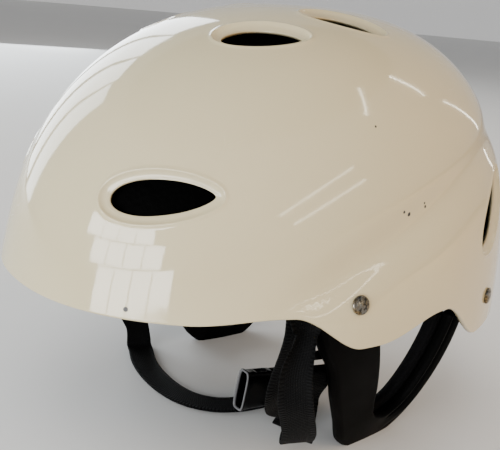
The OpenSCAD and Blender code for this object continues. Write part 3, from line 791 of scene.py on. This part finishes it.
def guard_rings(section):
    """Rings along the guard's band. section gives places across and depths at a share along."""
    o, n = spline(GUARD_OUTER, GUARD_STEPS), spline(GUARD_INNER, GUARD_STEPS)
    rings = []
    for i in range(len(o)):
        across, depth = section(i / (len(o) - 1))
        q = o[i] + (n[i] - o[i]) * across[:, None]
        rings.append(np.stack([guard_x(q[:, 0], q[:, 1]) - depth, q[:, 0], q[:, 1]], -1))
    return np.array(rings)


def guard_section(along_band):
    """The outer face has a slim bevel in front. The rear leg has two grooves with a roll between them."""
    u = np.concatenate([[0.0, 0.012, 0.03, 0.05, 0.062, 0.08], np.linspace(0.11, 0.90, 36),
                        [0.93, 0.955, 0.975, 0.99, 1.0]])
    rear = smooth(0.62, 0.74, along_band)
    front = 1 - smooth(0.34, 0.5, along_band)
    face = 2.0 * (1 - smooth(0.0, 0.05, u)) + 2.1 * smooth(0.93, 1.0, u) ** 2
    face = face + 0.7 * front * (1 - smooth(0.055, 0.085, u))
    face = face + rear * (2.3 * np.exp(-((u - 0.80) / 0.035) ** 2) + 1.5 * np.exp(-((u - 0.25) / 0.028) ** 2)
                          - 2.2 * np.exp(-((u - 0.53) / 0.2) ** 2))
    back_u = np.array([1.0, 0.985, 0.95, 0.9, 0.5, 0.1, 0.05, 0.015, 0.0])
    back = GUARD_T - np.array([2.2, 0.9, 0.2, 0, 0, 0, 0.2, 0.9, 2.2])
    return np.concatenate([u, back_u]), np.concatenate([face, back])


def ear_pad_section(along_band):
    a, b = GUARD_T + PAD_GAP, GUARD_T + PAD_GAP + EAR_PAD_T
    t = np.linspace(0, 2 * math.pi, 40, endpoint=False)
    x = np.sign(np.cos(t)) * np.abs(np.cos(t)) ** 0.6
    y = np.sign(np.sin(t)) * np.abs(np.sin(t)) ** 0.75
    return 0.88 + 0.26 * x, (a + b) / 2 + EAR_PAD_T / 2 * y


def add_guards():
    for side, flip in (("left", 1), ("right", -1)):
        rings = guard_rings(guard_section)
        rings[..., 2] = np.maximum(rings[..., 2], -STAND_H)
        made = loft(f"guard_foam_{side}", rings * (flip, 1, 1), "foam")
        placed(made, f"guard_{side}", f"ear_guard_{side}")
        rings = guard_rings(ear_pad_section)
        rings = rings[rings[..., 2].max(1) < -7]
        made = loft(f"ear_cushion_{side}", rings * (flip, 1, 1), "pad")
        placed(made, f"guard_{side}", f"ear_pad_{side}")


# ---- Webbing ----
STRAP_PHI, STRAP_DEPTH, SEWN_DEPTH = 58.7, 4.5, 1.75
LOCK_AT, LOCK_LEAN, LOCK_TURN = np.array([83.0, -35, -15]), 8, -12
LOCK_T, BAR_H, LOCK_H = 3.0, 3.5, 25.0
LOOP_X, LOOP_Z, TOP_BAR_Z = LOCK_T / 2 + 0.35 + WEB_T / 2, BAR_H / 2 + 0.35 + WEB_T / 2, (LOCK_H - BAR_H) / 2


def ribbon(name, route, across, node, body="helmet", width=WEB_W, steps=9, curls=None, thick=WEB_T):
    """Webbing through given points, with its rounded selvedges, laid out for the weave."""
    p, w = spline(route, steps), spline(across, steps)
    curl = np.full(len(p), 0.10) if curls is None else spline([[c, 0, 0] for c in curls], steps)[:, 0]
    s = np.array([-0.5, -0.485, -0.46, -0.42] + list(np.linspace(-0.36, 0.36, 9)) + [0.42, 0.46, 0.485, 0.5])
    h = np.array([0.0, 0.34, 0.46, 0.5] + [0.47] * 9 + [0.5, 0.46, 0.34, 0.0]) * thick
    s_all = np.concatenate([s, s[-2:0:-1]])
    h_all = np.concatenate([h, -h[-2:0:-1]])
    ahead = unit(np.vstack([p[1] - p[0], p[2:] - p[:-2], p[-1] - p[-2]]))
    a = unit(w - (w * ahead).sum(-1, keepdims=True) * ahead)
    d = np.cross(ahead, a)
    bend = np.maximum(np.abs(curl), 1e-3)[:, None] * np.sign(np.where(curl == 0, 1, curl))[:, None]
    sideways = width / bend * np.sin(s_all[None] * bend)
    rise = width / bend * (1 - np.cos(s_all[None] * bend)) + h_all[None]
    rings = p[:, None] + a[:, None] * sideways[..., None] + d[:, None] * rise[..., None]
    run = np.concatenate([[0], np.cumsum(np.linalg.norm(np.diff(p, axis=0), axis=-1))]) * MM
    uv = np.stack(np.broadcast_arrays(s_all[None] + 0.5, run[:, None]), -1).reshape(-1, 2)
    made = loft(name, rings, "web", uv=uv)
    if body:
        placed(made, body, *node)
    else:
        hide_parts(*node)
    return made


def strap_down(heights, sewn):
    z = np.asarray(heights, float)
    return behind(STRAP_PHI, z, (STRAP_DEPTH + sewn * (1 - smooth(31, 40, z)))[:, None])


def lock_point(x, z):
    lean_a, turn_a = math.radians(LOCK_LEAN), math.radians(LOCK_TURN)
    px, pz = x * math.cos(lean_a) + z * math.sin(lean_a), z * math.cos(lean_a) - x * math.sin(lean_a)
    return LOCK_AT + (px * math.cos(turn_a), px * math.sin(turn_a), pz)


LOCK_ACROSS = [-math.sin(math.radians(LOCK_TURN)), math.cos(math.radians(LOCK_TURN)), 0]
LOCK_END = [lock_point(LOOP_X, -16), lock_point(LOOP_X, -TOP_BAR_Z),
            lock_point(LOOP_X * 0.85, -TOP_BAR_Z + LOOP_Z * 0.9), lock_point(0, -TOP_BAR_Z + LOOP_Z + 0.1),
            lock_point(-LOOP_X * 0.85, -TOP_BAR_Z + LOOP_Z * 0.9), lock_point(-LOOP_X, -TOP_BAR_Z),
            lock_point(-LOOP_X, -17)]


def stack(*parts):
    return np.vstack([np.asarray(part, float).reshape(-1, 3) for part in parts])


def add_adjusters():
    top = strap_down([31, 27, 23, 18, 13, 9], 0)
    top_across = along(STRAP_PHI, np.array([31.0, 27, 23, 18, 13, 9]))
    slack = stack(top, [[101.5, -63.5, 2], [103.5, -67, -8], [104.5, -66, -21], [102, -61, -33],
                        [98.5, -56, -43], [93.5, -52, -51], [89, -48.5, -54], [85.8, -44, -51.5],
                        [82.5, -40.5, -45], [80.3, -36.8, -38.5]], LOCK_END)
    slack_across = stack(top_across, [[0.5, 0.86, 0], [0.55, 0.83, 0], [0.6, 0.8, 0], [0.6, 0.8, 0],
                                      [0.55, 0.84, 0], [0.45, 0.89, 0.05], [0.4, 0.9, 0.05],
                                      [0.35, 0.93, 0], [0.3, 0.95, 0], [0.25, 0.97, 0]],
                         [LOCK_ACROSS] * 7)
    curls = [0.1, 0.1, 0.1, 0.6, 1.8, 3.4, 3.0, 1.6, 0.7, 0.3, 0.2] + [0.1] * 12
    ribbon("adjuster_left", slack, slack_across, ["adjuster_strap_left"], curls=curls)
    short = stack(top, [[102, -61, 0], [101, -55, -14], [95, -47.5, -27], [88.5, -41, -36.5],
                        [83, -37.8, -41], [80.7, -35, -37.5]], LOCK_END)
    short_across = stack(top_across, [[0.4, 0.92, 0], [0.45, 0.89, 0], [0.4, 0.9, 0]], [[0.3, 0.95, 0]] * 3,
                         [LOCK_ACROSS] * 7)
    ribbon("adjuster_right", short * (-1, 1, 1), short_across * (-1, 1, 1), ["adjuster_strap_right"])


def add_side_straps():
    sewn_x, top_z = 89.3 - 0.3 - WEB_T / 2, 14.6
    route = stack([[sewn_x, -36.2, top_z], [sewn_x, -36.2, 10], [sewn_x, -36.2, 6.5]], lock_point(LOOP_X, 16),
                  lock_point(LOOP_X, TOP_BAR_Z), lock_point(LOOP_X * 0.85, TOP_BAR_Z - LOOP_Z * 0.9),
                  lock_point(0, TOP_BAR_Z - LOOP_Z - 0.1),
                  lock_point(-LOOP_X * 0.85, TOP_BAR_Z - LOOP_Z * 0.9),
                  lock_point(-LOOP_X, TOP_BAR_Z), lock_point(-LOOP_X, 17))
    across = stack([[0, 1, 0]] * 3, [LOCK_ACROSS] * 7)
    for side, flip in (("left", 1), ("right", -1)):
        ribbon(f"side_strap_web_{side}", route * (flip, 1, 1), across * (flip, 1, 1), [f"side_strap_{side}"])


SOCKET_AT, SOCKET_PITCH = np.array([36.0, -43, -55]), math.radians(-8)
SOCKET_W, SOCKET_L, BAR_R = 23.0, 27.0, 1.6
TAIL_Y, BAR_LOOP = SOCKET_L - 2.5, BAR_R + 0.4 + WEB_T / 2
UPRIGHT = [0, -math.sin(SOCKET_PITCH), math.cos(SOCKET_PITCH)]


def socket_point(x, y, z=0.0):
    x, y, z = np.broadcast_arrays(x, y, z)
    c, s = math.cos(SOCKET_PITCH), math.sin(SOCKET_PITCH)
    return SOCKET_AT + np.stack([x, y * c - z * s, y * s + z * c], -1)


PLUG_AT = np.array([15.5, -8, -STAND_H + 3.7])
TABLE_Z = -STAND_H + WEB_T / 2 + 0.1


def add_chin_straps():
    heights = [66.0, 58, 48, 38, 30, 23, 16]
    front = strap_down(heights, SEWN_DEPTH)
    front_across = along(STRAP_PHI, np.array(heights))
    exit_point = strap_down([7.5], SEWN_DEPTH)[0]
    loop = [[1, 9], [1, 1], [0.72, -0.72 * BAR_LOOP], [0, -BAR_LOOP], [-0.72, -0.72 * BAR_LOOP], [-1, 1],
            [-1, 7]]
    route = stack(front, exit_point, [[95, -60, -2], [92, -59, -12], [86, -58, -27], [76, -50.5, -40],
                                      [67, -35, -49], [57, -18, -55], [49, -7, -59.5], [42.5, -4, -61]],
                  [socket_point(x * BAR_LOOP, TAIL_Y + y) for x, y in loop],
                  [[33.5, -5, -64], [36, -1.5, -68.5], [40, -5, -73], [45, -12, -76], [48, -19, -78.6]])
    level = along(STRAP_PHI, 7.5)
    across = stack(front_across, level, level, [[0.6, 0.8, 0.15], [0.5, 0.75, 0.45], [0.3, 0.55, 0.8],
                                                [0.1, 0.3, 0.95], [0, 0.15, 1]], [UPRIGHT] * 9,
                   [[-0.2, 0.4, 0.9], [-0.5, 0.5, 0.7], [-0.75, 0.55, 0.3], [-0.8, -0.5, 0.1],
                    [-0.85, -0.5, 0]])
    left = ribbon("chin_web_left", route, across, ["front_strap_left", "chin_strap_left"], body=None)
    tuple(metres((97.6, -60.7, 11)))
    tuple(metres((95, -60, -2)))
    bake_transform(left)
    mirror = np.array([-1, 1, 1])
    arc = [[-58, -48], [-40, -51.5], [-20, -51.5], [-4, -47], [7, -38], [13, -27], [15, -17]]
    bar = [[-5, -1, 0], [-0.5, -1, 0], [0.72, -0.72, 1], [1, 0, 1], [0.72, 0.72, 1], [-0.5, 1, 0], [-6, 1, 0]]
    turns = [PLUG_AT + (0, y * (BAR_LOOP if scaled else 1), z * BAR_LOOP) for y, z, scaled in bar]
    route = stack(front * mirror, [[-95, -61.5, 3], [-86.5, -60.5, -18], [-79, -54.5, -42], [-80.3, -43, -62],
                                   [-80, -40.3, -75.2], [-79.6, -40.3, -77.8], [-78.1, -40.6, -79.3],
                                   [-74.5, -41.5, TABLE_Z]], [[x, y, TABLE_Z] for x, y in arc], turns)
    across = stack(front_across * mirror, [[-0.42, 0.91, 0], [-0.35, 0.94, 0], [-0.3, 0.95, 0], [-0.1, 1, 0],
                                           [0.2, 0.98, 0]], [[0.3, 0.95, 0]] * 3,
                   [[0.27, 0.96, 0], [0.1, 0.99, 0], [-0.13, 0.99, 0], [-0.5, 0.87, 0], [-0.8, 0.6, 0],
                    [-0.95, 0.3, 0]], [[-1, 0.05, 0]] * 8)
    right = ribbon("chin_web_right", route, across, ["front_strap_right", "chin_strap_right"], body=None)
    tuple(metres((-80.2, -41, -73)))
    tuple(metres((-74.5, -41.5, -81)))
    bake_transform(right)


def add_nape_strap():
    phi = np.concatenate([np.arange(121, 180, 5), np.arange(184, 240, 5)]).astype(float)
    depth = 6.2 - 1.8 * smooth(128, 137, off_front(phi))
    route = np.array([behind(b, 4.0, d) for b, d in zip(phi, depth)])
    ribbon("nape_web", route, np.tile([0, 0, 1.0], (len(phi), 1)), ["nape_strap"], steps=4)


# ---- Buckle ----
def oblong(width, thick, power=5.0, n=48):
    """A rounded oblong, as x and z."""
    a = np.linspace(0, 2 * math.pi, n, endpoint=False)
    c, s = np.cos(a), np.sin(a)
    r = (np.abs(c) ** power + np.abs(s) ** power) ** (-1 / power)
    x, z = c * r, s * r
    return x * thick / 2, z * width / 2


def block(name, low, high, look, place, width=0.5):
    """A box with rounded edges, whose corners place() puts."""
    x0, y0, z0 = low
    x1, y1, z1 = high
    corners = np.array([[x, y, z] for x in (x0, x1) for y in (y0, y1) for z in (z0, z1)], float)
    faces = [(0, 1, 3, 2), (4, 6, 7, 5), (0, 4, 5, 1), (2, 3, 7, 6), (0, 2, 6, 4), (1, 5, 7, 3)]
    made = piece(name, place(corners), faces, look)
    face_outwards(made)
    return modify(made, "BEVEL", width=width * MM, segments=3)


RAIL_AT, RAIL_HALF = 9.55, 0.95                 # the rails from the socket's body out to its bar


def add_socket():
    wall_end = TAIL_Y - 5.8
    # y, width, thickness: from the inner end of the hollow out to the mouth and back along the outside
    stations = [(wall_end - 3.0, 19.0, 5.6), (wall_end - 2.6, 19.4, 5.9), (8, 20.0, 6.1), (1.2, 20.3, 6.3),
                (0.35, 20.6, 6.6), (0.0, 21.2, 7.2), (-0.12, 21.8, 7.9), (0.15, 22.6, 8.7), (0.6, 23.0, 9.0),
                (1.6, 22.7, 8.7), (2.4, 22.2, 8.2), (6, 21.8, 8.2), (11, 21.4, 8.4), (15, 21.2, 8.3),
                (wall_end - 0.9, 21.0, 8.0), (wall_end - 0.2, 20.4, 7.4), (wall_end, 19.2, 6.2)]
    rings, rim = [], []
    for y, width, thick in stations:
        x, z = oblong(width, thick)
        rings.append(socket_point(x, np.full(len(x), float(y)), z))
        # the mouth lip gets rim 1, which paints a light grey highlight there in the plastic's colour
        rim.append(np.full(len(x), 1.0 if y < 0.5 else 0.0))
    body = loft("socket_body", rings, "plastic", attributes={"rim": np.concatenate(rim)})
    parts = [body]
    for k, s in enumerate((-1, 1)):
        cut = block(f"cut_{k}", (-2.2, 7, s * SOCKET_W / 2 - 3), (2.2, 14, s * SOCKET_W / 2 + 3), "plastic",
                    lambda c: socket_point(*c.T))
        modify(body, "BOOLEAN", operation="DIFFERENCE", object=cut, solver="EXACT")
        parts.append(cut)
    bpy.context.view_layer.objects.active = body
    for modifier in list(body.modifiers):
        bpy.ops.object.modifier_apply(modifier=modifier.name)
    for cut in parts[1:]:
        bpy.data.objects.remove(cut)
    placed(body, "socket", "buckle_socket")
    for k, s in enumerate((-1, 1)):
        rail = block(f"socket_rail_{k}", (-2, wall_end - 1.5, s * RAIL_AT - RAIL_HALF),
                     (2, TAIL_Y + 1.5, s * RAIL_AT + RAIL_HALF), "plastic", lambda c: socket_point(*c.T))
        placed(rail, "socket", "buckle_socket")
    a = np.linspace(0, 2 * math.pi, 24, endpoint=False)
    rings = [socket_point(BAR_R * np.cos(a), TAIL_Y + BAR_R * np.sin(a), np.full(24, float(z)))
             for z in np.linspace(-9.2, 9.2, 9)]
    placed(loft("socket_bar", rings, "plastic"), "socket", "buckle_socket")


def add_small_plastic():
    for node, width in (("ladder_lock_left", 0.55), ("ladder_lock_right", 0.55), ("buckle_plug", 0.35),
                        ("prong_left", 0.35), ("prong_right", 0.35), ("guard_hangers", 0.25),
                        ("strap_anchors", 0.25)):
        trim_cad(node, "plastic", width)
    trim_cad("rivet_washers", "nickel", 0.15)


# ---- Stage ----
FLOOR_SIZE, BACKDROP_R = 60, 9.0


def add_floor():
    """A pale floor, and a pale round wall far behind it. Their meeting line shows."""
    n = Nodes("pale_floor")
    n.finish(Base_Color=n.blend(n.noise(2.0, 3), shade(0.78, 0.78, 0.77), shade(0.75, 0.75, 0.74)),
             Roughness=0.75, Normal=n.bump(n.noise(60, 4), 0.2 * MM, 0.2), Specular_IOR_Level=0.0)
    bpy.ops.mesh.primitive_plane_add(size=FLOOR_SIZE)
    floor = bpy.context.active_object
    floor.name = "floor"
    floor.data.materials.append(n.material)
    n = Nodes("pale_backdrop")
    n.finish(Base_Color=n.blend(n.noise(0.2, 3), shade(0.72, 0.72, 0.72), shade(0.70, 0.70, 0.70)),
             Roughness=0.9, Emission_Color=shade(1.0, 1.0, 1.0), Emission_Strength=0.27)
    bpy.ops.mesh.primitive_cylinder_add(vertices=96, radius=BACKDROP_R, depth=BACKDROP_R,
                                        end_fill_type="NOTHING", location=(0, 0, BACKDROP_R / 2 - 0.1))
    wall = bpy.context.active_object
    wall.name = "backdrop"
    wall.data.materials.append(n.material)


LIGHT_TARGET, LIGHT_CENTRE = (0, 0, 0.10), Vector((0, 0, 0.09))
WINDOW_AWAY, STRIP_AWAY = 1.0, 2.6


def area_light(name, at, size, power, colour=(1, 1, 1), height=None, seen=True, across=None):
    """A rectangle of light that faces the helmet. across is the direction of its size, and a light that
    isn't seen leaves no reflection."""
    data = bpy.data.lights.new(name, "AREA")
    data.shape = "RECTANGLE"
    data.size, data.size_y = size, height or size
    data.energy, data.color = power, colour
    light = bpy.data.objects.new(name, data)
    back = (Vector(at) - Vector(LIGHT_TARGET)).normalized()
    x = Vector(across or (-back.y, back.x, 0))
    x = (x - back * x.dot(back)).normalized()
    light.matrix_world = Matrix((x, back.cross(x), back)).transposed().to_4x4()
    light.location = at
    light.visible_glossy = seen
    bpy.context.scene.collection.objects.link(light)


def seen_at(azimuth, rise, distance):
    """A place at a bearing and a rise from the helmet."""
    a, e = math.radians(azimuth), math.radians(rise)
    way = Vector((math.sin(a) * math.cos(e), -math.cos(a) * math.cos(e), math.sin(e)))
    return way * distance + LIGHT_CENTRE


# Ceiling strips on the left and behind: the bearing and rise of each one's two ends
STRIPS = [((84, 12), (113, 22)), ((90, 8), (117, 16)), ((162, 46), (161, 33)), ((168, 26), (187, 3)),
          ((140, 52), (128, 40))]


def add_lights():
    world = bpy.data.worlds.new("studio")
    world.use_nodes = True
    world.node_tree.nodes["Background"].inputs["Color"].default_value = shade(0.95, 0.96, 1.0)
    world.node_tree.nodes["Background"].inputs["Strength"].default_value = 0.22
    bpy.context.scene.world = world
    area_light("overhead", (0.5, -0.9, 2.2), 1.6, 25, colour=(1.0, 0.98, 0.94), seen=False)
    # a window of panes, in front of the helmet and a little to its left
    for i in range(4):
        for j in range(3):
            at = seen_at(10 + 9.5 * i - 6 * j, 6.5 * j - 1.5, WINDOW_AWAY)
            area_light(f"pane_{i}_{j}", at, 0.157, 0.75, colour=(0.96, 0.98, 1.0), height=0.107)
    # a bright wall of glass on the wearer's right
    for i in range(4):
        area_light(f"glass_{i}", (-2.2, -0.9 + 0.55 * i, 0.8), 0.45, 14.0, height=1.6,
                   colour=(0.90, 0.96, 1.0))
    for i, (first, last) in enumerate(STRIPS):
        a, b = seen_at(*first, STRIP_AWAY), seen_at(*last, STRIP_AWAY)
        area_light(f"strip_{i}", (a + b) / 2, (b - a).length, 1.5, height=0.035, colour=(1.0, 0.95, 0.80),
                   across=tuple(b - a))
    area_light("warm_rear", (1.5, 1.3, 0.7), 1.3, 22.0, colour=(1.0, 0.60, 0.24), seen=False)


add_lining()
add_rivets()
add_guards()
add_adjusters()
add_side_straps()
add_chin_straps()
add_nape_strap()
add_socket()
add_small_plastic()
add_floor()
add_lights()
